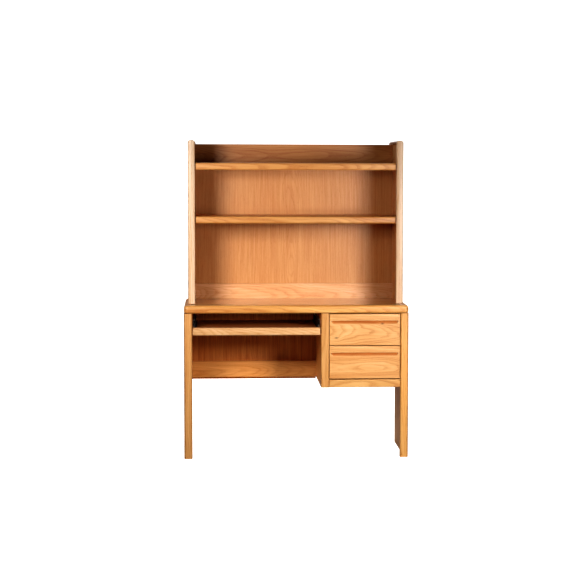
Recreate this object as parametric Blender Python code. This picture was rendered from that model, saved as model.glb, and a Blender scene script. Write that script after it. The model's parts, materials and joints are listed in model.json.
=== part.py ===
"""Oak desk with a bookcase hutch, a keyboard tray and two drawers, as its separate boards and slides.

Metres, +Z up, floor at Z = 0, the sitter at -Y. Depths are measured back from the desk's front plane,
the front face of its legs. Every board is its own solid, with a hair gap to the boards that it meets.
"""

import math

import bmesh
import bpy
from mathutils import Vector

# Desk
DESK_HEIGHT = 0.762
DESK_WIDTH = 1.115
DESK_DEPTH = 0.483
TOP_THICKNESS = 0.039
TOP_FRONT_OVERHANG = 0.004
TOP_BAND_WIDTH = 0.036
LEG_STILE_WIDTH = 0.041
STILE_THICKNESS = 0.022
SIDE_THICKNESS = 0.019
MODESTY_BOTTOM = 0.341
MODESTY_RAIL = (0.3515, 0.435)
MODESTY_SETBACK = 0.458
BOARD_THICKNESS = 0.019
SKIN_THICKNESS = 0.006

# Drawer pedestal, on the right
PARTITION_X = 0.1215
PARTITION_STILE_WIDTH = 0.0385
PEDESTAL_BOTTOM = 0.3525
PEDESTAL_RAIL_HEIGHT = 0.039
PEDESTAL_BACK_SETBACK = 0.464

# Drawers
FRONT_THICKNESS = 0.020
FRONT_SIDE_GAP = 0.0020
UPPER_FRONT = (0.5625, 0.7188)
LOWER_FRONT = (0.3965, 0.5590)
LIP_HEIGHT = 0.033
PULL_DEPTH = 0.010
PULL_HEIGHT = 0.021
PULL_SKIM = 0.0002
PULL_END_INSET = 0.008
PULL_END_RADIUS = 0.016
BOX_LENGTH = 0.380
BOX_HEIGHT = 0.105
BOX_RAISE = 0.0125
BOX_WALL = 0.012
BOX_BOTTOM = 0.005
GROOVE_DEPTH = 0.005
GROOVE_RAISE = 0.010

# Keyboard tray
TRAY_X = (-0.515, 0.118)
TRAY_TOP = 0.6525
TRAY_NOSING_HEIGHT = 0.038
TRAY_NOSING_PROUD = 0.002
TRAY_NOSING_ROUND = 0.006
TRAY_THICKNESS = 0.018
TRAY_LENGTH = 0.416
TRAY_SIDE_INSET = 0.002

# Slides, all rolled from one sheet: a race runs inside a channel, on a web that carries a plate
SHEET = 0.0014
SLIDE_WEB = 0.0020
SLIDE_PLATE_U = 0.0110
RACE_U = 0.0040
SLIDE_LENGTH = 0.350
SLIDE_SETBACK = 0.024
SLIDE_WIDTH = 0.0127
SLIDE_CHANNEL_WIDTH = 0.0092
SLIDE_CHANNEL_REACH = 0.0175
SLIDE_CHANNEL_LIP = 0.0042
SLIDE_RACE_REACH = 0.0120
SLIDE_PLATE_REACH = 0.0150
TRAY_SLIDE_LENGTH = 0.400
TRAY_SLIDE_SETBACK = 0.029
TRAY_SLIDE_RAISE = 0.0040
TRAY_SLIDE_TOP = 0.691
TRAY_CHANNEL_WIDTH = 0.0100
TRAY_CHANNEL_LIP = 0.0040
TRAY_CLEAT_DROP = 0.0060
MIDDLE_CHANNEL_WIDTH = 0.0080
MIDDLE_CHANNEL_LIP = 0.0036
SLIDE_PLAY = 0.0020
RACE_PLAY = 0.0010
BRACKET_FOOT = 0.0200

# Hutch
HUTCH_WIDTH = 1.075
HUTCH_SETBACK = 0.096
HUTCH_TOP = 1.579
HUTCH_STILE_WIDTH = 0.0345
HUTCH_STILE_THICKNESS = 0.019
HUTCH_SIDE_THICKNESS = 0.017
HUTCH_CAP_HEIGHT = 0.0155
HUTCH_TOP_ROUND = 0.013
HUTCH_STILE_CROWN = 0.003
HUTCH_STILE_LIFT = 0.002
CROWN_SEGMENTS = 16
HUTCH_RAIL_SETBACK = 0.462
GALLERY_TOP = 1.563
GALLERY_THICKNESS = 0.015
TOP_SHELF = 1.4665
MIDDLE_SHELF = 1.2000
SHELF_NOSING_HEIGHT = 0.0355
SHELF_NOSING_END_GAP = 0.005
LOWER_RAIL_HEIGHT = 0.078
PLATE_X = 0.380
PLATE_SIZE = (0.025, 0.002, 0.064)
PLATE_HOLE_RADIUS = 0.0025
PLATE_HOLE_OFFSETS = (-0.024, -0.010, 0.010, 0.024)
PLATE_HOLE_SEGMENTS = 16

# Fits and finish
GAP = 0.0003
ROUND_SEGMENTS = 4
EASED = 0.002
SMALL_ROUND = 0.004
MEDIUM_ROUND = 0.008
LARGE_ROUND = 0.010
TOP_EDGE_ROUND = 0.014
TOP_CORNER_ROUND = 0.020

TOTAL_DEPTH = TOP_FRONT_OVERHANG + DESK_DEPTH + GAP + PLATE_SIZE[1]
FRONT_Y = TOP_FRONT_OVERHANG - TOTAL_DEPTH / 2
UNDERSIDE = DESK_HEIGHT - TOP_THICKNESS
LEG_OUT = DESK_WIDTH / 2
LEG_IN = LEG_OUT - LEG_STILE_WIDTH
SIDE_IN = LEG_OUT - SIDE_THICKNESS
OPENING_LEFT = PARTITION_X + PARTITION_STILE_WIDTH
PEDESTAL_LEFT = PARTITION_X + SIDE_THICKNESS
HUTCH_OUT = HUTCH_WIDTH / 2
HUTCH_STILE_IN = HUTCH_OUT - HUTCH_STILE_WIDTH
HUTCH_SIDE_IN = HUTCH_OUT - HUTCH_SIDE_THICKNESS
HUTCH_BACK = HUTCH_RAIL_SETBACK + SKIN_THICKNESS
BOX_LEFT = OPENING_LEFT + SLIDE_WIDTH
BOX_RIGHT = LEG_IN - SLIDE_WIDTH

FACES = {
    "left": (0, -1),
    "right": (0, 1),
    "front": (1, -1),
    "back": (1, 1),
    "bottom": (2, -1),
    "top": (2, 1),
}
FRONT_FRAME = ("front top", "front bottom", "front left", "front right")


def depth(distance):
    """Y of a plane this far behind the desk's front plane."""
    return FRONT_Y + distance


def across(side, inner, outer):
    """The X span between two distances from the middle, on the left (-1) or the right (1)."""
    return tuple(sorted((side * inner, side * outer)))


def clear_scene():
    for item in list(bpy.data.objects):
        bpy.data.objects.remove(item)


def finish_material(name, colour, roughness, metallic=0.0):
    material = bpy.data.materials.new(name)
    material.use_nodes = True
    shader = material.node_tree.nodes["Principled BSDF"]
    shader.inputs["Base Color"].default_value = (*colour, 1.0)
    shader.inputs["Roughness"].default_value = roughness
    shader.inputs["Metallic"].default_value = metallic
    return material


def oak_solid():
    return finish_material("oak_solid", (0.76, 0.40, 0.15), 0.38)


def oak_panel():
    return finish_material("oak_panel", (0.68, 0.33, 0.12), 0.42)


def drawer_wood():
    return finish_material("drawer_wood", (0.74, 0.55, 0.33), 0.50)


def black_steel():
    return finish_material("black_steel", (0.02, 0.02, 0.022), 0.35, 0.8)


def zinc_steel():
    return finish_material("zinc_steel", (0.60, 0.61, 0.62), 0.35, 1.0)


def add_object(name, mesh, location, material=None, parent=None):
    """Links a bmesh as an object at this place, which stays the same when it has a parent."""
    data = bpy.data.meshes.new(name)
    bmesh.ops.recalc_face_normals(mesh, faces=mesh.faces)
    mesh.to_mesh(data)
    mesh.free()
    data.shade_smooth()
    data.set_sharp_from_angle(angle=math.radians(35))
    item = bpy.data.objects.new(name, data)
    bpy.context.scene.collection.objects.link(item)
    item.location = location
    if material:
        data.materials.append(material)
    if parent:
        item.parent = parent
        item.location = Vector(location) - parent.location
    return item


def add_carriage(name, x, y, z):
    """The empty on a sliding body's axis, which its pieces hang from."""
    carriage = bpy.data.objects.new(name, None)
    bpy.context.scene.collection.objects.link(carriage)
    carriage.location = (x, y, z)
    return carriage


def round_edges(mesh, half, edges, radius):
    """Rounds the box edges that are named by the two faces they lie between."""
    chosen = []
    for edge in mesh.edges:
        for pair in edges:
            planes = [FACES[face] for face in pair.split()]
            if all(abs(v.co[axis] - sign * half[axis]) < 1e-6 for v in edge.verts for axis, sign in planes):
                chosen.append(edge)
    bmesh.ops.bevel(
        mesh, geom=chosen, offset=radius, segments=ROUND_SEGMENTS, profile=0.5, affect="EDGES"
    )


def board(name, x, y, z, material=None, rounding=(), parent=None):
    """A board between two X, two Y and two Z planes. rounding holds (radius, edge names) pairs."""
    low, high = Vector((x[0], y[0], z[0])), Vector((x[1], y[1], z[1]))
    half = (high - low) / 2
    mesh = bmesh.new()
    bmesh.ops.create_cube(mesh, size=2.0)
    bmesh.ops.scale(mesh, vec=half, verts=mesh.verts)
    for radius, edges in rounding:
        round_edges(mesh, half, edges, radius)
    return add_object(name, mesh, (low + high) / 2, material, parent)


def prism(name, outline, axis, span, material=None, parent=None):
    """A flat outline pushed along an axis. Points are (x, z) along Y, and (x, y) along Z."""
    centre = Vector((0, 0, 0))
    centre[axis] = sum(span) / 2
    half = (span[1] - span[0]) / 2
    mesh = bmesh.new()
    for a, b in outline:
        mesh.verts.new((a, -half, b) if axis == 1 else (a, b, -half))
    face = mesh.faces.new(mesh.verts)
    pushed = bmesh.ops.extrude_face_region(mesh, geom=[face])["geom"]
    step = Vector((0, 0, 0))
    step[axis] = 2 * half
    bmesh.ops.translate(mesh, vec=step, verts=[v for v in pushed if isinstance(v, bmesh.types.BMVert)])
    return add_object(name, mesh, centre, material, parent)


def cut(item, cutter, operation="DIFFERENCE"):
    """Cuts one object by another, and keeps the cutter out of the model."""
    cutter.hide_render = True
    cutter.display_type = "WIRE"
    modifier = item.modifiers.new(cutter.name, "BOOLEAN")
    modifier.operation = operation
    modifier.solver = "EXACT"
    modifier.object = cutter


def rounded_top(name, material):
    """The whole desktop, its front and side edges rounded over and its front corners eased."""
    low = Vector((-LEG_OUT, depth(-TOP_FRONT_OVERHANG), UNDERSIDE))
    high = Vector((LEG_OUT, depth(DESK_DEPTH), DESK_HEIGHT))
    half = (high - low) / 2
    mesh = bmesh.new()
    bmesh.ops.create_cube(mesh, size=2.0)
    bmesh.ops.scale(mesh, vec=half, verts=mesh.verts)
    round_edges(mesh, half, ("front left", "front right"), TOP_CORNER_ROUND)
    for sign, radius in ((1, TOP_EDGE_ROUND), (-1, LARGE_ROUND)):
        rim = []
        for edge in mesh.edges:
            level = all(abs(v.co.z - sign * half.z) < 1e-6 for v in edge.verts)
            rear = all(abs(v.co.y - half.y) < 1e-6 for v in edge.verts)
            if level and not rear:
                rim.append(edge)
        bmesh.ops.bevel(
            mesh, geom=rim, offset=radius, segments=ROUND_SEGMENTS, profile=0.5, affect="EDGES"
        )
    return add_object(name, mesh, (low + high) / 2, material)


def top_piece(name, outline, material):
    """The part of the rounded desktop inside a plan outline."""
    margin = 0.01
    piece = rounded_top(name, material)
    guide = prism(f"{name}_guide", outline, 2, (UNDERSIDE - margin, DESK_HEIGHT + margin))
    cut(piece, guide, "INTERSECT")


def desktop(material_panel, material_solid):
    """A core panel with three solid bands round it, mitred at the front corners."""
    beyond = 0.05
    core_x = LEG_OUT - TOP_BAND_WIDTH
    front = depth(-TOP_FRONT_OVERHANG)
    core_y = front + TOP_BAND_WIDTH
    back = depth(DESK_DEPTH) + beyond
    gap = GAP / 2
    mitre = gap * math.tan(math.radians(22.5))
    top_piece(
        "desktop_panel",
        [
            (-core_x + gap, core_y + gap),
            (core_x - gap, core_y + gap),
            (core_x - gap, back),
            (-core_x + gap, back),
        ],
        material_panel,
    )
    half_front = LEG_OUT + beyond
    top_piece(
        "desktop_front_band",
        [
            (-half_front + mitre + gap, front - beyond),
            (half_front - mitre - gap, front - beyond),
            (core_x - mitre, core_y - gap),
            (-core_x + mitre, core_y - gap),
        ],
        material_solid,
    )
    for side, name in ((-1, "desktop_left_band"), (1, "desktop_right_band")):
        top_piece(
            name,
            [
                (side * (core_x + gap), core_y + mitre),
                (side * (half_front + gap), front - beyond + mitre),
                (side * (half_front + gap), back),
                (side * (core_x + gap), back),
            ],
            material_solid,
        )


def desk_side(side, name, material_panel, material_solid):
    """A leg panel that reaches the floor, behind a wider solid stile."""
    legs = (0.0, UNDERSIDE - GAP)
    board(
        f"{name}_front_stile",
        across(side, LEG_IN, LEG_OUT),
        (depth(0), depth(STILE_THICKNESS)),
        legs,
        material_solid,
        ((MEDIUM_ROUND, ("front left", "front right")),),
    )
    board(
        f"{name}_side_panel",
        across(side, SIDE_IN, LEG_OUT),
        (depth(STILE_THICKNESS + GAP), depth(DESK_DEPTH)),
        legs,
        material_panel,
    )


def partition(material_panel, material_solid):
    """The wall between the knee space and the drawers, behind its own stile."""
    height = (PEDESTAL_BOTTOM, UNDERSIDE - GAP)
    board(
        "partition_stile",
        (PARTITION_X, OPENING_LEFT),
        (depth(0), depth(STILE_THICKNESS)),
        height,
        material_solid,
        ((SMALL_ROUND, ("front left", "front right")),),
    )
    board(
        "partition_panel",
        (PARTITION_X, PEDESTAL_LEFT),
        (depth(STILE_THICKNESS + GAP), depth(DESK_DEPTH)),
        height,
        material_panel,
    )


def modesty(material_panel, material_solid):
    """The thin board that closes the back of the knee space, and the solid rail that stiffens its foot."""
    x = (-SIDE_IN + GAP, PARTITION_X - GAP)
    rail_back = DESK_DEPTH - SKIN_THICKNESS - GAP
    board(
        "modesty_rail",
        x,
        (depth(MODESTY_SETBACK), depth(rail_back)),
        MODESTY_RAIL,
        material_solid,
        ((EASED, ("front bottom", "front top")),),
    )
    board(
        "modesty_panel",
        x,
        (depth(rail_back + GAP), depth(DESK_DEPTH)),
        (MODESTY_BOTTOM, UNDERSIDE - GAP),
        material_panel,
    )


def pedestal(material_panel, material_solid):
    """The drawers' bottom and back, the rail under the lower drawer, and the packing behind the stiles."""
    rear = depth(PEDESTAL_BACK_SETBACK + SKIN_THICKNESS)
    floor_top = PEDESTAL_BOTTOM + BOARD_THICKNESS
    board(
        "pedestal_rail",
        (OPENING_LEFT + GAP, LEG_IN - GAP),
        (depth(0), depth(FRONT_THICKNESS)),
        (PEDESTAL_BOTTOM, PEDESTAL_BOTTOM + PEDESTAL_RAIL_HEIGHT),
        material_solid,
        ((SMALL_ROUND, FRONT_FRAME),),
    )
    board(
        "pedestal_bottom",
        (PEDESTAL_LEFT + GAP, SIDE_IN - GAP),
        (depth(STILE_THICKNESS + GAP), rear),
        (PEDESTAL_BOTTOM, floor_top),
        material_panel,
    )
    board(
        "pedestal_back",
        (PEDESTAL_LEFT + GAP, SIDE_IN - GAP),
        (depth(PEDESTAL_BACK_SETBACK), rear),
        (floor_top + GAP, UNDERSIDE - GAP),
        material_panel,
    )
    packing_y = (depth(STILE_THICKNESS + GAP), depth(PEDESTAL_BACK_SETBACK - GAP))
    packing_z = (floor_top + GAP, UNDERSIDE - GAP)
    board("slide_packing_left", (PEDESTAL_LEFT + GAP, OPENING_LEFT), packing_y, packing_z, material_panel)
    board("slide_packing_right", (LEG_IN, SIDE_IN - GAP), packing_y, packing_z, material_panel)


def pull_cutter(name, x, lip, parent):
    """A scoop, deepest under the lip, that runs out softly onto the face below it and closes at both ends."""
    arc_steps = 10
    end_steps = 5
    proud = 0.002
    middle = (x[1] - x[0]) / 2
    stations = []
    for step in range(1, end_steps + 1):
        angle = math.pi / 2 * step / end_steps
        stations.append((-middle + PULL_END_RADIUS * (1 - math.cos(angle)), math.sin(angle)))
    stations += [(-place, size) for place, size in reversed(stations)]
    mesh = bmesh.new()
    rings = []
    for place, size in stations:
        ring = [(place, -proud, 0.0)]
        for step in range(arc_steps + 1):
            fall = step / arc_steps
            scoop = PULL_DEPTH * size * math.cos(math.pi / 2 * fall) ** 2
            ring.append((place, scoop - PULL_SKIM, -PULL_HEIGHT * size * fall))
        ring.append((place, -proud, -PULL_HEIGHT * size))
        rings.append([mesh.verts.new(point) for point in ring])
    count = len(rings[0])
    for near, far in zip(rings, rings[1:]):
        for i in range(count):
            j = (i + 1) % count
            mesh.faces.new((near[i], near[j], far[j], far[i]))
    mesh.faces.new(rings[0])
    mesh.faces.new(reversed(rings[-1]))
    return add_object(name, mesh, (sum(x) / 2, depth(0), lip), parent=parent)


def drawer_front(name, z, groove_z, material, parent):
    """A solid front with a scooped finger pull under its lip, and a groove behind for the bottom."""
    x = (OPENING_LEFT + FRONT_SIDE_GAP, LEG_IN - FRONT_SIDE_GAP)
    front = board(
        name, x, (depth(0), depth(FRONT_THICKNESS)), z, material, ((EASED, FRONT_FRAME),), parent
    )
    pull_x = (x[0] + PULL_END_INSET, x[1] - PULL_END_INSET)
    cut(front, pull_cutter(f"{name}_pull_guide", pull_x, z[1] - LIP_HEIGHT, parent))
    groove_x = (BOX_LEFT + BOX_WALL - GROOVE_DEPTH, BOX_RIGHT - BOX_WALL + GROOVE_DEPTH)
    groove_y = (depth(FRONT_THICKNESS - GROOVE_DEPTH), depth(FRONT_THICKNESS + GROOVE_DEPTH))
    cut(front, board(f"{name}_groove_guide", groove_x, groove_y, groove_z, parent=parent))


def drawer_side(name, side, bottom, groove_z, material, parent):
    """A drawer side with a groove along its inner face for the bottom."""
    outer = BOX_LEFT if side < 0 else BOX_RIGHT
    inner = outer - side * BOX_WALL
    groove = inner + side * GROOVE_DEPTH
    top = bottom + BOX_HEIGHT
    outline = [
        (outer, bottom),
        (inner, bottom),
        (inner, groove_z[0]),
        (groove, groove_z[0]),
        (groove, groove_z[1]),
        (inner, groove_z[1]),
        (inner, top),
        (outer, top),
    ]
    span = (depth(FRONT_THICKNESS + GAP), depth(FRONT_THICKNESS + BOX_LENGTH))
    prism(name, outline, 1, span, material, parent)


def drawer(name, front_z, solid, box):
    """A drawer: front, two sides, a back that stands on the bottom, and the bottom in its grooves."""
    carriage = add_carriage(f"{name}_carriage", (OPENING_LEFT + LEG_IN) / 2, depth(0), sum(front_z) / 2)
    bottom = front_z[0] + BOX_RAISE
    groove_z = (bottom + GROOVE_RAISE, bottom + GROOVE_RAISE + BOX_BOTTOM + 2 * GAP)
    drawer_front(f"{name}_front", front_z, groove_z, solid, carriage)
    drawer_side(f"{name}_left_side", -1, bottom, groove_z, box, carriage)
    drawer_side(f"{name}_right_side", 1, bottom, groove_z, box, carriage)
    rear = FRONT_THICKNESS + BOX_LENGTH
    board(
        f"{name}_back",
        (BOX_LEFT + BOX_WALL + GAP, BOX_RIGHT - BOX_WALL - GAP),
        (depth(rear - BOX_WALL), depth(rear)),
        (groove_z[1], bottom + BOX_HEIGHT),
        box,
        parent=carriage,
    )
    reach = BOX_WALL - GROOVE_DEPTH + GAP
    board(
        f"{name}_bottom",
        (BOX_LEFT + reach, BOX_RIGHT - reach),
        (depth(FRONT_THICKNESS - GROOVE_DEPTH + GAP), depth(rear)),
        (groove_z[0] + GAP, groove_z[1] - GAP),
        box,
        parent=carriage,
    )
    return carriage, bottom + BOX_HEIGHT / 2


def channel(u, w, lip):
    """The section of a C channel that opens towards +u, between two u and two w planes."""
    (near, far), (low, high) = u, w
    return [
        (near, low),
        (far, low),
        (far, low + lip),
        (far - SHEET, low + lip),
        (far - SHEET, low + SHEET),
        (near + SHEET, low + SHEET),
        (near + SHEET, high - SHEET),
        (far - SHEET, high - SHEET),
        (far - SHEET, high - lip),
        (far, high - lip),
        (far, high),
        (near, high),
    ]


def placed(section, x, direction, z=0.0):
    """A slide's section moved to its mounting plane, u running along +X or -X."""
    return [(x + direction * u, z + w) for u, w in section]


def runner(race, plate, web_z, foot=None):
    """The section of a sliding member: a race, its web, and a plate that may turn out into a foot."""
    race_low, race_high = race
    plate_low, plate_high = plate
    race_far = RACE_U + SHEET
    plate_far = SLIDE_PLATE_U + SHEET
    web_low = web_z - SLIDE_WEB / 2
    web_high = web_z + SLIDE_WEB / 2
    outline = [
        (RACE_U, race_low),
        (race_far, race_low),
        (race_far, web_low),
        (SLIDE_PLATE_U, web_low),
        (SLIDE_PLATE_U, plate_low),
    ]
    if foot:
        outline += [(foot, plate_low), (foot, plate_low + SHEET), (plate_far, plate_low + SHEET)]
    else:
        outline.append((plate_far, plate_low))
    return outline + [
        (plate_far, plate_high),
        (SLIDE_PLATE_U, plate_high),
        (SLIDE_PLATE_U, web_high),
        (race_far, web_high),
        (race_far, race_high),
        (RACE_U, race_high),
    ]


def drawer_slides(name, carriage, z, material):
    """On each side a channel on the case and a runner on the drawer, which rides inside it."""
    reach = SLIDE_CHANNEL_REACH
    case = channel((GAP, SLIDE_CHANNEL_WIDTH), (-reach, reach), SLIDE_CHANNEL_LIP)
    rider = runner(
        (-SLIDE_RACE_REACH, SLIDE_RACE_REACH), (-SLIDE_PLATE_REACH, SLIDE_PLATE_REACH), 0.0
    )
    span = (depth(SLIDE_SETBACK), depth(SLIDE_SETBACK + SLIDE_LENGTH))
    for side, x, direction in (("left", OPENING_LEFT, 1), ("right", LEG_IN, -1)):
        prism(f"{name}_case_slide_{side}", placed(case, x, direction, z), 1, span, material)
        prism(f"{name}_runner_{side}", placed(rider, x, direction, z), 1, span, material, carriage)


def tray(solid):
    """The sliding keyboard shelf with its rounded front."""
    centre = sum(TRAY_X) / 2
    carriage = add_carriage("tray_carriage", centre, depth(0), TRAY_TOP)
    board(
        "tray_nosing",
        TRAY_X,
        (depth(-TRAY_NOSING_PROUD), depth(BOARD_THICKNESS)),
        (TRAY_TOP - TRAY_NOSING_HEIGHT, TRAY_TOP),
        solid,
        ((TRAY_NOSING_ROUND, FRONT_FRAME),),
        carriage,
    )
    board(
        "tray_panel",
        (TRAY_X[0] + TRAY_SIDE_INSET, TRAY_X[1] - TRAY_SIDE_INSET),
        (depth(BOARD_THICKNESS + GAP), depth(BOARD_THICKNESS + TRAY_LENGTH)),
        (TRAY_TOP - GAP - TRAY_THICKNESS, TRAY_TOP - GAP),
        solid,
        parent=carriage,
    )
    return carriage


def tray_slides(carriage, wood, fixed_steel, tray_steel):
    """Three-part slides on cleats under the desktop: a case channel, a middle channel and the tray's bracket."""
    low = TRAY_TOP + TRAY_SLIDE_RAISE
    high = TRAY_SLIDE_TOP
    centre = (low + high) / 2
    case = channel((GAP, TRAY_CHANNEL_WIDTH), (low, high), TRAY_CHANNEL_LIP)
    middle_span = (low + SLIDE_PLAY, high - SLIDE_PLAY)
    middle = channel((SLIDE_PLAY, MIDDLE_CHANNEL_WIDTH), middle_span, MIDDLE_CHANNEL_LIP)
    race_inset = SLIDE_PLAY + MIDDLE_CHANNEL_LIP + RACE_PLAY
    race = (low + race_inset, high - race_inset)
    bracket = runner(race, (TRAY_TOP, race[1]), centre, BRACKET_FOOT)
    span = (depth(TRAY_SLIDE_SETBACK), depth(TRAY_SLIDE_SETBACK + TRAY_SLIDE_LENGTH))
    cleat_y = (depth(STILE_THICKNESS + GAP), depth(TRAY_SLIDE_SETBACK + TRAY_SLIDE_LENGTH))
    cleat_z = (low - TRAY_CLEAT_DROP, UNDERSIDE - GAP)
    middle_carriage = add_carriage("tray_middle_carriage", sum(TRAY_X) / 2, depth(0), centre)
    for side, x, direction, wall in (
        ("left", TRAY_X[0], 1, -SIDE_IN + GAP),
        ("right", TRAY_X[1], -1, PARTITION_X - GAP),
    ):
        board(f"tray_cleat_{side}", tuple(sorted((wall, x))), cleat_y, cleat_z, wood)
        prism(f"tray_case_slide_{side}", placed(case, x, direction), 1, span, fixed_steel)
        prism(f"tray_middle_slide_{side}", placed(middle, x, direction), 1, span, fixed_steel, middle_carriage)
        prism(f"tray_bracket_{side}", placed(bracket, x, direction), 1, span, tray_steel, carriage)


def crowned_stile(name, x, foot, material):
    """An upright whose face is a shallow half ellipse in plan, under a top with rounded shoulders."""
    middle = sum(x) / 2
    half = (x[1] - x[0]) / 2
    back = depth(HUTCH_SETBACK + HUTCH_STILE_THICKNESS)
    plan = [(x[1], back), (x[0], back)]
    for step in range(CROWN_SEGMENTS + 1):
        angle = math.pi * step / CROWN_SEGMENTS
        rise = HUTCH_STILE_CROWN * (1 - math.sin(angle))
        plan.append((middle - half * math.cos(angle), depth(HUTCH_SETBACK) + rise))
    stile = prism(name, plan, 2, (foot, HUTCH_TOP), material)
    margin = 0.01
    guide = board(
        f"{name}_guide",
        x,
        (depth(HUTCH_SETBACK) - margin, back + margin),
        (foot - margin, HUTCH_TOP),
        rounding=((HUTCH_TOP_ROUND, ("top left", "top right")),),
    )
    cut(stile, guide, "INTERSECT")


def hutch_side(side, name, material_panel, material_solid):
    """A hutch side: a wide front stile, a cap as wide along its top, and the panel that carries them."""
    foot = DESK_HEIGHT + GAP
    stile_back = HUTCH_SETBACK + HUTCH_STILE_THICKNESS
    wide = across(side, HUTCH_STILE_IN, HUTCH_OUT)
    crowned_stile(f"hutch_{name}_stile", wide, foot + HUTCH_STILE_LIFT, material_solid)
    cap_low = HUTCH_TOP - HUTCH_CAP_HEIGHT
    board(
        f"hutch_{name}_cap",
        wide,
        (depth(stile_back + GAP), depth(DESK_DEPTH)),
        (cap_low, HUTCH_TOP),
        material_solid,
        ((HUTCH_TOP_ROUND, ("top left", "top right")),),
    )
    board(
        f"hutch_{name}_panel",
        across(side, HUTCH_SIDE_IN, HUTCH_OUT),
        (depth(stile_back + GAP), depth(DESK_DEPTH)),
        (foot, cap_low - GAP),
        material_panel,
    )


def hutch_shelf(name, top, material_panel, material_solid):
    """A shelf board behind a deeper rounded nosing that fits between the stiles."""
    board(
        f"{name}_nosing",
        (SHELF_NOSING_END_GAP - HUTCH_STILE_IN, HUTCH_STILE_IN - SHELF_NOSING_END_GAP),
        (depth(HUTCH_SETBACK), depth(HUTCH_SETBACK + HUTCH_STILE_THICKNESS)),
        (top - SHELF_NOSING_HEIGHT, top),
        material_solid,
        ((MEDIUM_ROUND, ("front top", "front bottom")),),
    )
    board(
        name,
        (-HUTCH_SIDE_IN + GAP, HUTCH_SIDE_IN - GAP),
        (depth(HUTCH_SETBACK + HUTCH_STILE_THICKNESS + GAP), depth(HUTCH_BACK - GAP)),
        (top - BOARD_THICKNESS, top),
        material_panel,
    )


def hutch_back(material_panel, material_solid):
    """The back board, between a rail on the desktop and the gallery rail above the top shelf."""
    x = (-HUTCH_SIDE_IN + GAP, HUTCH_SIDE_IN - GAP)
    foot = DESK_HEIGHT + GAP
    board(
        "hutch_lower_rail",
        x,
        (depth(HUTCH_RAIL_SETBACK), depth(DESK_DEPTH)),
        (foot, DESK_HEIGHT + LOWER_RAIL_HEIGHT),
        material_solid,
        ((EASED, ("front top",)),),
    )
    board(
        "hutch_back_panel",
        x,
        (depth(HUTCH_BACK), depth(HUTCH_BACK + SKIN_THICKNESS)),
        (DESK_HEIGHT + LOWER_RAIL_HEIGHT + GAP, TOP_SHELF),
        material_panel,
    )
    board(
        "gallery_rail",
        x,
        (depth(HUTCH_RAIL_SETBACK), depth(HUTCH_RAIL_SETBACK + GALLERY_THICKNESS)),
        (TOP_SHELF + GAP, GALLERY_TOP),
        material_solid,
        ((EASED, ("front top", "back top")),),
    )


def mending_plates(material):
    """Two drilled steel plates that tie the hutch's lower rail to the back edge of the desktop."""
    through = 5 * PLATE_SIZE[1]
    for side, name in ((-1, "left"), (1, "right")):
        x = side * PLATE_X
        plate = board(
            f"mending_plate_{name}",
            (x - PLATE_SIZE[0] / 2, x + PLATE_SIZE[0] / 2),
            (depth(DESK_DEPTH + GAP), depth(DESK_DEPTH + GAP + PLATE_SIZE[1])),
            (DESK_HEIGHT - PLATE_SIZE[2] / 2, DESK_HEIGHT + PLATE_SIZE[2] / 2),
            material,
        )
        for number, offset in enumerate(PLATE_HOLE_OFFSETS):
            mesh = bmesh.new()
            bmesh.ops.create_cone(
                mesh,
                cap_ends=True,
                segments=PLATE_HOLE_SEGMENTS,
                radius1=PLATE_HOLE_RADIUS,
                radius2=PLATE_HOLE_RADIUS,
                depth=through,
            )
            drill = add_object(
                f"mending_plate_{name}_hole_guide_{number}",
                mesh,
                (x, depth(DESK_DEPTH), DESK_HEIGHT + offset),
            )
            drill.rotation_euler.x = math.pi / 2
            cut(plate, drill)


def build():
    clear_scene()
    solid, panel, box = oak_solid(), oak_panel(), drawer_wood()
    black, zinc = black_steel(), zinc_steel()
    desktop(panel, solid)
    desk_side(-1, "left", panel, solid)
    desk_side(1, "right", panel, solid)
    partition(panel, solid)
    modesty(panel, solid)
    pedestal(panel, solid)
    tray_slides(tray(solid), panel, zinc, black)
    for name, front_z in (("upper_drawer", UPPER_FRONT), ("lower_drawer", LOWER_FRONT)):
        carriage, slide_z = drawer(name, front_z, solid, box)
        drawer_slides(name, carriage, slide_z, zinc)
    hutch_side(-1, "left", panel, solid)
    hutch_side(1, "right", panel, solid)
    hutch_shelf("top_shelf", TOP_SHELF, panel, solid)
    hutch_shelf("middle_shelf", MIDDLE_SHELF, panel, solid)
    hutch_back(panel, solid)
    mending_plates(zinc)


build()
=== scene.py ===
"""Looks for the oak desk and hutch: camera, studio light, procedural woods and metals, and fasteners."""

import json
import math

import bmesh
import bpy
from mathutils import Matrix, Vector


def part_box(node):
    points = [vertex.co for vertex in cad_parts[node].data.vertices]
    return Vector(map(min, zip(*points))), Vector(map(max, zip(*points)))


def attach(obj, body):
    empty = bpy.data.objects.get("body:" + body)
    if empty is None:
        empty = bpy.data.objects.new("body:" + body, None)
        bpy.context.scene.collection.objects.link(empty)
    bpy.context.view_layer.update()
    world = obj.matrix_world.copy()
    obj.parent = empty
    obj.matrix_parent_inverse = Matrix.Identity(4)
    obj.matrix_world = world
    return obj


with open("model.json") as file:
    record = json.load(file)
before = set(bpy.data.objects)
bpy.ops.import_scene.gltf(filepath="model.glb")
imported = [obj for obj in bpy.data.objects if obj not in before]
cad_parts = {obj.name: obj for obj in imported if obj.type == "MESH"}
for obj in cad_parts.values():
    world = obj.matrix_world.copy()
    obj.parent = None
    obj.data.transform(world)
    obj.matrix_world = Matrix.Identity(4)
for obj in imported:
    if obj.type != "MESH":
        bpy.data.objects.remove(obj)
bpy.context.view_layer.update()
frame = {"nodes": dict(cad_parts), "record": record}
NODES = frame["nodes"]

X, Y, Z = 0, 1, 2


# ---------------------------------------------------------------- camera, floor and light

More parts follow.
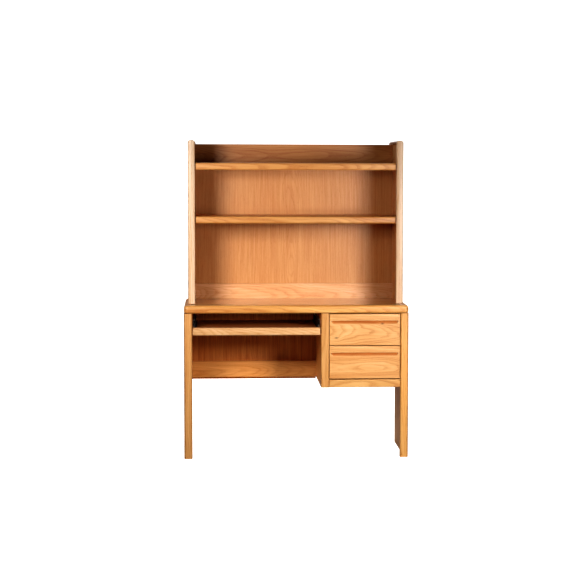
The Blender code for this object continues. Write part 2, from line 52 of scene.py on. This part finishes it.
KEY_SIZE = (0.60, 0.50)
KEY_COLOUR = (1.0, 0.97, 0.94)
KEY_GRID = 48.0
AIM_DEPTH = -0.1

# Each front box: its place, and the points that it is aimed at, as x, z and the power sent there.
KEYS = (
    ("key_left", (-1.27, -2.1, 1.54), ((-0.40, 1.45, 1.7), (-0.45, 1.05, 1.2), (-0.45, 0.25, 2.2))),
    ("key_right", (1.21, -2.1, 1.20), ((0.42, 1.35, 1.7), (-0.05, 0.85, 0.8), (0.34, 0.20, 3.0))),
)

# The weak boxes round the back: place, size and power.
FILLS = (
    ("fill_back", (0.0, 3.2, 3.4), (4.0, 2.2), 50.0),
    ("fill_left", (-3.6, 1.2, 1.7), (2.6, 2.4), 15.0),
    ("fill_right", (3.6, 1.2, 1.7), (2.6, 2.4), 15.0),
)
FILL_TARGET = (0.0, 0.0, 0.95)

FLOOR_HALF = 30.0
FLOOR_DROP = 0.0005


def make_camera():
    """Almost straight on, a little above the desktop and left of the middle, with a long lens."""
    data = bpy.data.cameras.new("camera")
    data.sensor_width = 36.0
    data.lens = 106.62
    data.shift_x = -0.1058
    data.shift_y = -0.0086
    data.clip_end = 100.0
    camera = bpy.data.objects.new("camera", data)
    bpy.context.scene.collection.objects.link(camera)
    turn = (
        Matrix.Rotation(math.radians(-4.352), 4, "Z")
        @ Matrix.Rotation(math.radians(90.0 - 3.898), 4, "X")
        @ Matrix.Rotation(math.radians(0.175), 4, "Z")
    )
    camera.matrix_world = Matrix.Translation((-0.38191, -8.65354, 1.44817)) @ turn
    bpy.context.scene.camera = camera


def soft_box(name, place, target, size, power, colour=(1.0, 1.0, 1.0), grid=180.0):
    """A soft box aimed at a point. grid is the widest angle, in degrees, that its honeycomb lets through."""
    data = bpy.data.lights.new(name, "AREA")
    data.shape = "RECTANGLE"
    data.size, data.size_y = size
    data.spread = math.radians(grid)
    data.energy = power
    data.color = colour
    lamp = bpy.data.objects.new(name, data)
    bpy.context.scene.collection.objects.link(lamp)
    lamp.location = place
    aim = Vector(target) - Vector(place)
    lamp.rotation_euler = aim.to_track_quat("-Z", "Y").to_euler()


def make_studio():
    """A white room: a gridded box to each side in front, weak fills round the back, and a pale floor.

    The front boxes' grids keep their light narrow, so the shadows inside the hutch stay deep. The world and
    the floor look white, and shine only weakly on the desk.
    """
    scene = bpy.context.scene
    scene.view_settings.view_transform = "Standard"
    scene.view_settings.look = "High Contrast"
    world = bpy.data.worlds.new("studio")
    scene.world = world
    world.use_nodes = True
    tree = world.node_tree
    tree.nodes.clear()
    seen = add(tree, "ShaderNodeBackground", (1.0, 1.0, 1.0, 1.0), 1.0)
    felt = add(tree, "ShaderNodeBackground", (1.0, 0.52, 0.20, 1.0), 0.016)
    path = add(tree, "ShaderNodeLightPath")
    mixed = add(tree, "ShaderNodeMixShader", path.outputs["Is Camera Ray"], felt, seen)
    output = add(tree, "ShaderNodeOutputWorld")
    tree.links.new(mixed.outputs[0], output.inputs["Surface"])

    for name, place, aims in KEYS:
        for number, (x, z, power) in enumerate(aims, start=1):
            target = (x, AIM_DEPTH, z)
            soft_box(f"{name}_{number}", place, target, KEY_SIZE, power, KEY_COLOUR, KEY_GRID)
    for name, place, size, power in FILLS:
        soft_box(name, place, FILL_TARGET, size, power)

    mesh = bpy.data.meshes.new("floor")
    half = FLOOR_HALF
    corners = [(-half, -half, 0), (half, -half, 0), (half, half, 0), (-half, half, 0)]
    mesh.from_pydata(corners, [], [(0, 1, 2, 3)])
    floor = bpy.data.objects.new("floor", mesh)
    scene.collection.objects.link(floor)
    floor.location.z = -FLOOR_DROP
    material, tree, shader = new_material("pale_floor")
    shader.inputs["Base Color"].default_value = (0.55, 0.55, 0.55, 1.0)
    shader.inputs["Roughness"].default_value = 0.9
    shader.inputs["Specular IOR Level"].default_value = 0.1
    shader.inputs["Emission Color"].default_value = (1.0, 1.0, 1.0, 1.0)
    path = add(tree, "ShaderNodeLightPath")
    glow = calc(tree, "MULTIPLY", path.outputs["Is Camera Ray"], 0.97)
    tree.links.new(glow, shader.inputs["Emission Strength"])
    floor.data.materials.append(material)


# ---------------------------------------------------------------- node helpers


def socket(source):
    return source.outputs[0] if isinstance(source, bpy.types.Node) else source


def add(tree, kind, *sources, **settings):
    """Adds a node, sets its properties, and feeds its inputs in order with links or plain values."""
    node = tree.nodes.new(kind)
    for key, value in settings.items():
        setattr(node, key, value)
    for slot, source in zip([s for s in node.inputs if s.enabled], sources):
        if source is None:
            continue
        if isinstance(source, (bpy.types.Node, bpy.types.NodeSocket)):
            tree.links.new(socket(source), slot)
        else:
            slot.default_value = source
    return node


def calc(tree, operation, *values):
    return add(tree, "ShaderNodeMath", *values, operation=operation).outputs[0]


def span(tree, value, low, high, to_low=0.0, to_high=1.0):
    """Remaps a value smoothly from one range to another, and clamps it."""
    node = add(
        tree, "ShaderNodeMapRange", value, low, high, to_low, to_high, interpolation_type="SMOOTHSTEP"
    )
    return node.outputs[0]


def stretch(tree, vector, scale):
    return add(tree, "ShaderNodeVectorMath", vector, scale, operation="MULTIPLY").outputs[0]


def noise(tree, vector, scale=1.0, detail=2.0, roughness=0.5, dimensions="3D"):
    node = add(tree, "ShaderNodeTexNoise", noise_dimensions=dimensions)
    if dimensions == "1D":
        tree.links.new(socket(vector), node.inputs["W"])
    else:
        tree.links.new(socket(vector), node.inputs["Vector"])
    node.inputs["Scale"].default_value = scale
    node.inputs["Detail"].default_value = detail
    node.inputs["Roughness"].default_value = roughness
    return node.outputs[0]


def ramp(tree, value, stops):
    node = add(tree, "ShaderNodeValToRGB", value)
    elements = node.color_ramp.elements
    while len(elements) < len(stops):
        elements.new(0.5)
    for element, (place, colour) in zip(elements, stops):
        element.position = place
        element.color = (*colour, 1.0)
    return node.outputs[0]


def new_material(name):
    material = bpy.data.materials.new(name)
    material.use_nodes = True
    tree = material.node_tree
    return material, tree, tree.nodes["Principled BSDF"]


# ---------------------------------------------------------------- wood


def wood_group():
    """Sawn wood. Position runs across, through and along the board from the tree's middle, in metres.

    Tone is 0 in the darkest grain and 1 in the palest. Height is the open pores and the fibres.
    """
    group = bpy.data.node_groups.new("sawn_wood", "ShaderNodeTree")
    face = group.interface
    face.new_socket("Position", in_out="INPUT", socket_type="NodeSocketVector")
    for name in ("Taper", "Ring", "Figure", "Wander", "Streak"):
        face.new_socket(name, in_out="INPUT", socket_type="NodeSocketFloat")
    for name in ("Tone", "Height", "Pores"):
        face.new_socket(name, in_out="OUTPUT", socket_type="NodeSocketFloat")
    given = group.nodes.new("NodeGroupInput")
    out = group.nodes.new("NodeGroupOutput")
    place, taper, ring, figure, wander, streaky = (given.outputs[i] for i in range(6))

    parts = add(group, "ShaderNodeSeparateXYZ", place)
    across, through, along = parts.outputs[0], parts.outputs[1], parts.outputs[2]
    across_squared = calc(group, "MULTIPLY", across, across)
    through_squared = calc(group, "MULTIPLY", through, through)
    radius = calc(group, "SQRT", calc(group, "ADD", across_squared, through_squared))
    slow = noise(group, stretch(group, place, (5.0, 5.0, 1.6)), detail=1.0)
    quick = noise(group, stretch(group, place, (26.0, 26.0, 7.0)), detail=2.0)
    shifted = calc(group, "MULTIPLY_ADD", calc(group, "SUBTRACT", slow, 0.5), 0.075, radius)
    shifted = calc(group, "MULTIPLY_ADD", calc(group, "SUBTRACT", quick, 0.5), 0.0075, shifted)
    drift = calc(group, "SUBTRACT", shifted, radius)
    radius = calc(group, "MULTIPLY_ADD", drift, wander, radius)
    radius = calc(group, "MULTIPLY_ADD", along, taper, radius)

    uneven = noise(group, radius, scale=30.0, detail=1.0, dimensions="1D")
    count = calc(group, "ADD", calc(group, "DIVIDE", radius, ring), calc(group, "MULTIPLY", uneven, 1.6))
    phase = calc(group, "FRACT", count)
    early = calc(group, "MULTIPLY", span(group, phase, 0.0, 0.12), span(group, phase, 0.62, 0.16))
    broad = noise(group, radius, scale=62.0, detail=1.5, dimensions="1D")

    pore_field = noise(group, stretch(group, place, (1500.0, 1500.0, 55.0)), detail=1.0)
    open_pore = span(group, pore_field, 0.56, 0.68)
    pores = calc(group, "MULTIPLY", open_pore, calc(group, "MULTIPLY_ADD", early, 0.85, 0.15))
    streak = noise(group, stretch(group, place, (150.0, 150.0, 4.0)), detail=3.0, roughness=0.65)
    fibre = noise(group, stretch(group, place, (420.0, 420.0, 7.0)), detail=3.0, roughness=0.6)
    blotch = noise(group, stretch(group, place, (7.0, 7.0, 1.8)), detail=2.0)

    rings = calc(group, "MULTIPLY_ADD", calc(group, "SUBTRACT", broad, 0.5), 0.80, 0.06)
    rings = calc(group, "MULTIPLY_ADD", early, -0.24, rings)
    tone = calc(group, "MULTIPLY_ADD", rings, figure, 0.62)
    for field, weight in ((streak, streaky), (fibre, 0.35), (blotch, 0.25)):
        tone = calc(group, "MULTIPLY_ADD", calc(group, "SUBTRACT", field, 0.5), weight, tone)
    tone = calc(group, "MULTIPLY_ADD", pores, -0.40, tone)

    height = calc(group, "MULTIPLY", pores, -1.0)
    height = calc(group, "MULTIPLY_ADD", fibre, 0.25, height)
    height = calc(group, "MULTIPLY_ADD", early, -0.12, height)
    group.links.new(tone, out.inputs["Tone"])
    group.links.new(height, out.inputs["Height"])
    group.links.new(pores, out.inputs["Pores"])
    return group


# From the darkest grain to the palest: the tone and its colour.
OAK = (
    (0.0, (0.48, 0.165, 0.036)),
    (0.35, (0.62, 0.278, 0.080)),
    (0.65, (0.715, 0.375, 0.137)),
    (1.0, (0.83, 0.49, 0.22)),
)
PALE = (
    (0.0, (0.42, 0.26, 0.12)),
    (0.4, (0.62, 0.43, 0.23)),
    (0.7, (0.74, 0.56, 0.34)),
    (1.0, (0.82, 0.67, 0.45)),
)

# What darkens the wood: the first three are multiplied into its colour, and the last replaces it. The rim
# and pull colours are painted shade, on rounded stile corners and under the pull's lip.
END_GRAIN = (0.50, 0.42, 0.36)
RIM_SHADE = (0.58, 0.50, 0.42)
PULL_SHADE = (0.70, 0.45, 0.24)
KNOT = (0.16, 0.06, 0.02)

# How far a face turns towards a direction, from where a change begins to where it is complete.
END_TURN = (0.35, 0.85)
BACK_TURN = (0.3, 0.7)
RIM_SHADE_TURN = (0.10, 0.36)
FLAT_SIDE_TURN = (1.0, 0.96)

COAT = 0.35
KNOT_STRETCH = 1.7
KNOT_HALO = 0.09
KNOT_BEND = 0.012
TREE_SPACING = 3.7


def blend_colour(tree, factor, below, above, how="MIX"):
    node = add(tree, "ShaderNodeMix", data_type="RGBA", blend_type=how)
    tree.links.new(factor, node.inputs["Factor"])
    tree.links.new(below, node.inputs["A"])
    node.inputs["B"].default_value = (*above, 1.0)
    return node.outputs["Result"]


def inside(tree, parts, bounds):
    """1 inside a box, fading to 0 over the soft margin given for each of its faces."""
    mask = 1.0
    for axis, (low, soft_low, high, soft_high) in enumerate(bounds):
        rise = span(tree, parts.outputs[axis], low, low + soft_low)
        fall = span(tree, parts.outputs[axis], high, high - soft_high)
        mask = calc(tree, "MULTIPLY", calc(tree, "MULTIPLY", rise, fall), mask)
    return mask


def wood(
    name,
    axes,
    middle,
    seed,
    stops=OAK,
    tint=(1.0, 1.0, 1.0),
    pith=(0.02, 0.09),
    taper=0.05,
    ring=0.006,
    figure=1.0,
    wander=1.0,
    streak=0.55,
    roughness=0.42,
    coat=COAT,
    coat_roughness=0.36,
    knots=(),
    pull=None,
    rear=None,
    shaded_rim=0,
):
    """A lacquered board, cut from its own stretch of the tree that seed picks.

    axes are the ones across, through and along the board, and pith is where the tree's middle lay.
    taper, ring, figure and wander shape the growth rings, and streak the fine lines along the grain.
    knots are places and sizes, in metres. pull is the box that a finger pull lies in: its colour is darkened
    there as painted shade under the lip, and it is rougher, with less coat. rear tints the back, which is
    plain backing veneer.
    shaded_rim is the side, -1 or 1, whose rounded corner is darkened as painted shade. End grain soaks up
    the stain and is darker.
    """
    material, tree, shader = new_material(name)
    coordinates = add(tree, "ShaderNodeTexCoord")
    facing = add(tree, "ShaderNodeSeparateXYZ", coordinates.outputs["Normal"])
    parts = add(tree, "ShaderNodeSeparateXYZ", coordinates.outputs["Object"])
    knotty = 0.0
    bent = parts.outputs[axes[0]]
    for (x, z), size in knots:
        off_x = calc(tree, "DIVIDE", calc(tree, "SUBTRACT", parts.outputs[X], x), KNOT_STRETCH * size)
        off_z = calc(tree, "DIVIDE", calc(tree, "SUBTRACT", parts.outputs[Z], z), size)
        square = calc(tree, "MULTIPLY_ADD", off_x, off_x, calc(tree, "MULTIPLY", off_z, off_z))
        core = calc(tree, "EXPONENT", calc(tree, "MULTIPLY", square, -1.0))
        halo = calc(tree, "EXPONENT", calc(tree, "MULTIPLY", square, -KNOT_HALO))
        knotty = calc(tree, "ADD", core, knotty)
        bent = calc(tree, "MULTIPLY_ADD", halo, KNOT_BEND, bent)
    offset = (pith[0] - middle[axes[0]], pith[1] - middle[axes[1]], TREE_SPACING * seed - middle[axes[2]])
    ordered = add(tree, "ShaderNodeCombineXYZ", bent, parts.outputs[axes[1]], parts.outputs[axes[2]])
    place = add(tree, "ShaderNodeVectorMath", ordered, offset, operation="ADD")
    figure_node = tree.nodes.new("ShaderNodeGroup")
    figure_node.node_tree = GROUP
    tree.links.new(place.outputs[0], figure_node.inputs["Position"])
    looks = (("Taper", taper), ("Ring", ring), ("Figure", figure), ("Wander", wander), ("Streak", streak))
    for key, value in looks:
        figure_node.inputs[key].default_value = value
    colour = ramp(tree, figure_node.outputs["Tone"], stops)
    tinted = add(tree, "ShaderNodeMix", data_type="RGBA", blend_type="MULTIPLY")
    tinted.inputs["Factor"].default_value = 1.0
    tree.links.new(colour, tinted.inputs["A"])
    tinted.inputs["B"].default_value = (*tint, 1.0)
    if rear:
        behind = span(tree, facing.outputs[Y], *BACK_TURN)
        mixed_tint = add(tree, "ShaderNodeMix", data_type="RGBA")
        tree.links.new(behind, mixed_tint.inputs["Factor"])
        mixed_tint.inputs["A"].default_value = (*tint, 1.0)
        mixed_tint.inputs["B"].default_value = (*rear, 1.0)
        tree.links.new(mixed_tint.outputs["Result"], tinted.inputs["B"])
    colour = tinted.outputs["Result"]
    ends = span(tree, calc(tree, "ABSOLUTE", facing.outputs[axes[2]]), *END_TURN)
    colour = blend_colour(tree, ends, colour, END_GRAIN, "MULTIPLY")
    # Painted shade: the rounded outer corner on the given side is darkened in colour.
    if shaded_rim:
        turned = calc(tree, "MULTIPLY", facing.outputs[X], shaded_rim)
        rounded = span(tree, turned, *RIM_SHADE_TURN)
        shaded_corner = calc(tree, "MULTIPLY", rounded, span(tree, turned, *FLAT_SIDE_TURN))
        colour = blend_colour(tree, shaded_corner, colour, RIM_SHADE, "MULTIPLY")
    rough = calc(tree, "MULTIPLY_ADD", figure_node.outputs["Pores"], 0.18, roughness)
    if knots:
        colour = blend_colour(tree, calc(tree, "MULTIPLY", knotty, 0.75), colour, KNOT)
    # Painted shade: the finger pull is darkened in colour where the lip shades it, and it is also rougher
    # with less coat.
    if pull:
        shaded_pull = inside(tree, parts, pull)
        colour = blend_colour(tree, shaded_pull, colour, PULL_SHADE, "MULTIPLY")
        rough = calc(tree, "MULTIPLY_ADD", shaded_pull, 0.3, rough)
        tree.links.new(calc(tree, "MULTIPLY_ADD", shaded_pull, -coat, coat), shader.inputs["Coat Weight"])
    tree.links.new(colour, shader.inputs["Base Color"])
    tree.links.new(rough, shader.inputs["Roughness"])
    bump = add(tree, "ShaderNodeBump")
    bump.inputs["Strength"].default_value = 0.35
    bump.inputs["Distance"].default_value = 0.0003
    tree.links.new(figure_node.outputs["Height"], bump.inputs["Height"])
    tree.links.new(bump.outputs[0], shader.inputs["Normal"])
    shader.inputs["IOR"].default_value = 1.5
    shader.inputs["Coat Weight"].default_value = coat
    shader.inputs["Coat Roughness"].default_value = coat_roughness
    return material


# Which way each board lies: the axes across it, through it and along its grain.
RAIL = (Z, Y, X)       # upright board, grain to the side
POST = (X, Y, Z)       # upright board facing the front, grain up
WALL = (Y, X, Z)       # upright board facing the side, grain up
DECK = (Y, Z, X)       # lying board, grain to the side
RUN = (X, Z, Y)        # lying board, grain front to back
SIDE = (Z, X, Y)       # upright board facing the side, grain front to back

REAR = (0.85, 0.85, 0.85)
VENEER = {"figure": 0.35, "ring": 0.004, "taper": 0.02}
QUIET = {"figure": 0.6, "ring": 0.0045, "streak": 0.9}
STRAIGHT = {"figure": 0.75, "taper": 0.012, "pith": (0.05, 0.08)}
DRAWER_FACE = {"figure": 1.0, "ring": 0.0045, "wander": 1.25, "streak": 0.95}

BOARDS = {
    "desktop_panel": (
        DECK,
        {
            "tint": (0.83, 0.93, 0.94),
            "rear": (0.95, 0.95, 0.90),
            "pith": (0.03, 0.20),
            "figure": 0.6,
            "coat": 1.0,
            "coat_roughness": 0.16,
        },
    ),
    "desktop_front_band": (RAIL, {"tint": (1.0, 1.0, 0.85)}),
    "desktop_left_band": (RUN, {}),
    "desktop_right_band": (RUN, {}),
    # The right stile is tinted paler than the left as painted light: the right side of the desk gets more
    # light.
    "left_front_stile": (POST, {**STRAIGHT, "tint": (0.97, 0.98, 0.96), "shaded_rim": -1}),
    "right_front_stile": (POST, {**STRAIGHT, "tint": (1.09, 1.12, 0.97), "shaded_rim": 1}),
    "partition_stile": (POST, {**STRAIGHT, "tint": (0.87, 0.86, 0.79)}),
    "left_side_panel": (WALL, VENEER),
    "right_side_panel": (WALL, VENEER),
    # The partition panel's pale, red tint is painted light, lifting the shade on its face.
    "partition_panel": (WALL, {**VENEER, "tint": (1.12, 1.0, 0.75)}),
    "modesty_rail": (RAIL, {**QUIET, "tint": (1.10, 0.98, 0.78)}),
    "modesty_panel": (
        POST,
        {**VENEER, "figure": 0.6, "streak": 1.7, "tint": (0.98, 0.70, 0.42), "rear": REAR},
    ),
    "pedestal_rail": (RAIL, {"tint": (0.96, 1.05, 1.05)}),
    "pedestal_bottom": (DECK, VENEER),
    "pedestal_back": (POST, VENEER),
    "slide_packing_left": (SIDE, {}),
    "slide_packing_right": (SIDE, {}),
    "tray_nosing": (RAIL, {**QUIET, "tint": (1.01, 1.18, 1.6)}),
    # The cleats' bright, red tint is painted light, lifting the deep shade they stand in.
    "tray_cleat_left": (SIDE, {"tint": (1.3, 1.0, 0.8)}),
    "tray_cleat_right": (SIDE, {"tint": (1.3, 1.0, 0.8)}),
    "tray_panel": (DECK, {"figure": 0.5, "tint": (0.62, 0.44, 0.36)}),
    "upper_drawer_front": (RAIL, {**DRAWER_FACE, "tint": (1.0, 1.05, 1.12)}),
    "lower_drawer_front": (RAIL, {**DRAWER_FACE, "tint": (1.0, 1.03, 1.08)}),
    # The hutch stiles' pale, bluish tint is painted sheen, standing in for the lacquer's reflection of the
    # front boxes.
    "hutch_left_stile": (POST, {**STRAIGHT, "tint": (1.0, 1.34, 2.35), "shaded_rim": -1}),
    "hutch_right_stile": (POST, {**STRAIGHT, "tint": (0.97, 1.27, 2.2), "shaded_rim": 1}),
    # The caps' dark, greyish tint is painted shade on their faces.
    "hutch_left_cap": (RUN, {"tint": (0.66, 0.56, 0.50)}),
    "hutch_right_cap": (RUN, {"tint": (0.66, 0.56, 0.50)}),
    "hutch_left_panel": (WALL, VENEER),
    "hutch_right_panel": (WALL, VENEER),
    "top_shelf": (DECK, {**VENEER, "coat": 0.15}),
    "middle_shelf": (DECK, VENEER),
    "top_shelf_nosing": (RAIL, {"tint": (1.0, 0.94, 0.80)}),
    "middle_shelf_nosing": (RAIL, {"tint": (0.87, 0.80, 0.65)}),
    # The gallery rail's dark tint is painted shade, added to the shadow that the top shelf casts on it.
    "gallery_rail": (RAIL, {"tint": (0.62, 0.49, 0.36), "streak": 1.0}),
    "hutch_lower_rail": (RAIL, {**QUIET, "tint": (0.95, 1.01, 1.36)}),
    "hutch_back_panel": (POST, {**VENEER, "streak": 0.9, "tint": (0.79, 0.745, 0.74), "rear": REAR}),
}
for drawer in ("upper_drawer", "lower_drawer"):
    for part, axes in (("left_side", SIDE), ("right_side", SIDE), ("back", RAIL), ("bottom", DECK)):
        BOARDS[f"{drawer}_{part}"] = (axes, {"stops": PALE, "figure": 0.5, "roughness": 0.5})


def dress(node, material):
    """Gives a CAD node its material, in every slot it has."""
    item = NODES[node]
    if not item.material_slots:
        item.data.materials.append(material)
    for slot in item.material_slots:
        slot.material = material


LIP_HEIGHT = 0.033
PULL_HEIGHT = 0.021
PULL_DEPTH = 0.010


def pull_box(low, high):
    """The finger pull in a drawer front, darkened with painted shade: along each axis its low end, high end
    and their soft margins.
    """
    lip = high.z - LIP_HEIGHT
    return (
        (low.x, 0.020, high.x, 0.020),
        (low.y + 0.0002, 0.0015, low.y + PULL_DEPTH + 0.004, 0.003),
        (lip - PULL_HEIGHT - 0.004, 0.018, lip + 0.003, 0.002),
    )


def make_woods():
    """Every wooden node gets its own stretch of the tree. The upper drawer's front has two knots."""
    low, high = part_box("upper_drawer_front")
    knots = (((low.x + 0.035, low.z + 0.038), 0.0045), ((high.x - 0.088, high.z - 0.048), 0.0040))
    for seed, (node, (axes, look)) in enumerate(BOARDS.items(), start=1):
        low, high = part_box(node)
        look = dict(look)
        if node.endswith("drawer_front"):
            look["pull"] = pull_box(low, high)
        if node == "upper_drawer_front":
            look["knots"] = knots
        dress(node, wood(f"wood_{node}", axes, (low + high) / 2, seed, **look))


# ---------------------------------------------------------------- metal


def metal(name, colour, roughness, metallic, grain):
    """Rolled sheet with fine lines along its length and a slight mottle."""
    material, tree, shader = new_material(name)
    coordinates = add(tree, "ShaderNodeTexCoord").outputs["Object"]
    lines = noise(tree, stretch(tree, coordinates, (1800.0, 30.0, 1800.0)), detail=2.0)
    mottle = noise(tree, coordinates, scale=90.0, detail=3.0)
    mixed = calc(tree, "MULTIPLY_ADD", calc(tree, "SUBTRACT", lines, 0.5), grain, 0.5)
    mixed = calc(tree, "MULTIPLY_ADD", calc(tree, "SUBTRACT", mottle, 0.5), grain, mixed)
    dark = tuple(0.72 * part for part in colour)
    tree.links.new(ramp(tree, mixed, ((0.0, dark), (1.0, colour))), shader.inputs["Base Color"])
    tree.links.new(calc(tree, "MULTIPLY_ADD", mottle, 0.16, roughness), shader.inputs["Roughness"])
    shader.inputs["Metallic"].default_value = metallic
    bump = add(tree, "ShaderNodeBump")
    bump.inputs["Strength"].default_value = 0.2
    bump.inputs["Distance"].default_value = 0.0001
    tree.links.new(lines, bump.inputs["Height"])
    tree.links.new(bump.outputs[0], shader.inputs["Normal"])
    return material


def make_metals():
    finishes = {
        "zinc_steel": metal("zinc_plate", (0.66, 0.63, 0.59), 0.26, 1.0, 0.9),
        "black_steel": metal("black_coat", (0.018, 0.017, 0.017), 0.46, 0.0, 0.7),
    }
    for row in frame["record"]["subparts"]:
        if row["material_slot"] in finishes:
            dress(row["node"], finishes[row["material_slot"]])
    return finishes


# ---------------------------------------------------------------- fasteners

HEAD_SEGMENTS = 28
SMOOTH_ANGLE = 38

# Each head's outline, as shares of its radius and height, and then each head's radius and height.
PAN_HEAD = ((1.0, 0.0), (1.0, 0.34), (0.94, 0.62), (0.76, 0.86), (0.46, 1.0))
NAIL_HEAD = ((1.0, 0.0), (1.0, 0.55), (0.86, 0.88), (0.60, 1.0))
SCREW_SIZE = (0.0036, 0.0016)
BRACKET_SCREW_SIZE = (0.0030, 0.0013)
NAIL_SIZE = (0.0032, 0.0009)

# The cross recess, as shares of the head's radius and height.
CROSS_ARM = 0.62
CROSS_WIDTH = 0.17
CROSS_DEPTH = 0.60
CROSS_MIDDLE = 1.05

SCREW_TWIST = 0.7
BRACKET_SCREW_TWIST = 0.9
PLATE_HOLES = (-0.024, -0.010, 0.010, 0.024)
BRACKET_FOOT_MIDDLE = 0.0037
BRACKET_SHEET = 0.0014
BRACKET_END = 0.03
NAIL_INSET = 0.03


def turned_head(mesh, profile, size, place=Matrix.Identity(4)):
    """Adds a closed round head, turned about its own Z and standing on its seat."""
    radius, height = size
    rings = []
    for share, rise in profile:
        ring = []
        for step in range(HEAD_SEGMENTS):
            angle = 2 * math.pi * step / HEAD_SEGMENTS
            x = radius * share * math.cos(angle)
            y = radius * share * math.sin(angle)
            ring.append(mesh.verts.new(place @ Vector((x, y, height * rise))))
        rings.append(ring)
    for low, high in zip(rings, rings[1:]):
        for step in range(HEAD_SEGMENTS):
            after = (step + 1) % HEAD_SEGMENTS
            mesh.faces.new((low[step], low[after], high[after], high[step]))
    mesh.faces.new(reversed(rings[0]))
    mesh.faces.new(rings[-1])


def to_mesh(name, mesh):
    data = bpy.data.meshes.new(name)
    bmesh.ops.recalc_face_normals(mesh, faces=mesh.faces)
    mesh.to_mesh(data)
    mesh.free()
    data.shade_smooth()
    data.set_sharp_from_angle(angle=math.radians(SMOOTH_ANGLE))
    return data


def screw_mesh(name, size):
    """A pan head with a cross recess cut into its crown."""
    radius, height = size
    mesh = bmesh.new()
    turned_head(mesh, PAN_HEAD, size)
    scratch = [bpy.data.objects.new(name, to_mesh(name, mesh))]
    for arm in ((CROSS_ARM, CROSS_WIDTH), (CROSS_WIDTH, CROSS_ARM)):
        slot = bmesh.new()
        bmesh.ops.create_cube(slot, size=2.0)
        reach = (radius * arm[0], radius * arm[1], height * CROSS_DEPTH)
        bmesh.ops.scale(slot, vec=reach, verts=slot.verts)
        bmesh.ops.translate(slot, vec=(0, 0, height * CROSS_MIDDLE), verts=slot.verts)
        cutter = bpy.data.objects.new(f"{name}_slot", to_mesh(f"{name}_slot", slot))
        scratch.append(cutter)
        modifier = scratch[0].modifiers.new(cutter.name, "BOOLEAN")
        modifier.object = cutter
    for item in scratch:
        bpy.context.scene.collection.objects.link(item)
    solid = scratch[0].evaluated_get(bpy.context.evaluated_depsgraph_get())
    data = bpy.data.meshes.new_from_object(solid)
    data.name = name
    for item in scratch:
        bpy.data.objects.remove(item)
    return data


def fit(name, data, material, body, place=Matrix.Identity(4)):
    """Links a small piece at its place, and makes it ride on its body."""
    piece = bpy.data.objects.new(name, data)
    bpy.context.scene.collection.objects.link(piece)
    piece.matrix_world = place
    if not data.materials:
        data.materials.append(material)
    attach(piece, body)


def pointing(direction, place, twist=0.0):
    """Puts a head at a place with its crown towards a direction, turned about it."""
    turn = Vector(direction).to_track_quat("Z", "Y").to_matrix().to_4x4()
    return Matrix.Translation(place) @ turn @ Matrix.Rotation(twist, 4, "Z")


def spread_out(low, high, count):
    return [low + (high - low) * step / (count - 1) for step in range(count)]


def make_screws(finishes):
    """Screws in the mending plates' holes and through the feet of the tray's brackets."""
    zinc, black = "zinc_steel", "black_steel"
    plate_screw = screw_mesh("pan_screw", SCREW_SIZE)
    foot_screw = screw_mesh("black_pan_screw", BRACKET_SCREW_SIZE)
    for side, sign in (("left", 1), ("right", -1)):
        low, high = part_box(f"mending_plate_{side}")
        middle = (low + high) / 2
        for number, offset in enumerate(PLATE_HOLES, start=1):
            place = pointing((0, 1, 0), (middle.x, high.y, middle.z + offset), SCREW_TWIST * number)
            fit(f"plate_screw_{side}_{number}", plate_screw, finishes[zinc], "carcass", place)
        low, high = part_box(f"tray_bracket_{side}")
        x = (high.x if sign > 0 else low.x) - sign * BRACKET_FOOT_MIDDLE
        along = spread_out(low.y + BRACKET_END, high.y - BRACKET_END, 4)
        for number, y in enumerate(along, start=1):
            place = pointing((0, 0, 1), (x, y, low.z + BRACKET_SHEET), BRACKET_SCREW_TWIST * number)
            fit(f"tray_screw_{side}_{number}", foot_screw, finishes[black], "keyboard_tray", place)


def nails(name, points, finishes):
    """A row of flat nail heads in the back of a thin board, as one piece."""
    mesh = bmesh.new()
    for point in points:
        turned_head(mesh, NAIL_HEAD, NAIL_SIZE, pointing((0, 1, 0), point))
    fit(name, to_mesh(name, mesh), finishes["zinc_steel"], "carcass")


def make_nails(finishes):
    """The thin backs are nailed to the shelves, the packing boards and the modesty rail."""
    low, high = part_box("hutch_back_panel")
    across = spread_out(low.x + NAIL_INSET, high.x - NAIL_INSET, 9)
    for shelf in ("top_shelf", "middle_shelf"):
        shelf_low, shelf_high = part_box(shelf)
        z = (shelf_low.z + shelf_high.z) / 2
        nails(f"{shelf}_nails", [(x, high.y, z) for x in across], finishes)
    low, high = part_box("pedestal_back")
    for side in ("left", "right"):
        board_low, board_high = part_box(f"slide_packing_{side}")
        x = (board_low.x + board_high.x) / 2
        heights = spread_out(low.z + NAIL_INSET, high.z - NAIL_INSET, 4)
        nails(f"pedestal_nails_{side}", [(x, high.y, z) for z in heights], finishes)
    low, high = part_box("modesty_panel")
    rail_low, rail_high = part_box("modesty_rail")
    z = (rail_low.z + rail_high.z) / 2
    across = spread_out(low.x + NAIL_INSET, high.x - NAIL_INSET, 6)
    nails("modesty_nails", [(x, high.y, z) for x in across], finishes)


# ---------------------------------------------------------------- eased edges

EASE = 0.0007
EASE_ANGLE = 50
PLAIN_BOARDS = (
    "_panel",
    "_shelf",
    "_back",
    "_bottom",
    "_side",
    "_cap",
    "_rail",
    "_nosing",
    "packing_left",
    "packing_right",
    "cleat_left",
    "cleat_right",
)


def ease_edges():
    """Takes the sharp edges off the plain boards, as sandpaper does."""
    for node in BOARDS:
        if node.endswith(PLAIN_BOARDS) and node != "desktop_panel":
            modifier = NODES[node].modifiers.new("eased", "BEVEL")
            modifier.width = EASE
            modifier.segments = 2
            modifier.limit_method = "ANGLE"
            modifier.angle_limit = math.radians(EASE_ANGLE)


GROUP = wood_group()
make_camera()
make_studio()
make_woods()
FINISHES = make_metals()
make_screws(FINISHES)
make_nails(FINISHES)
ease_edges()
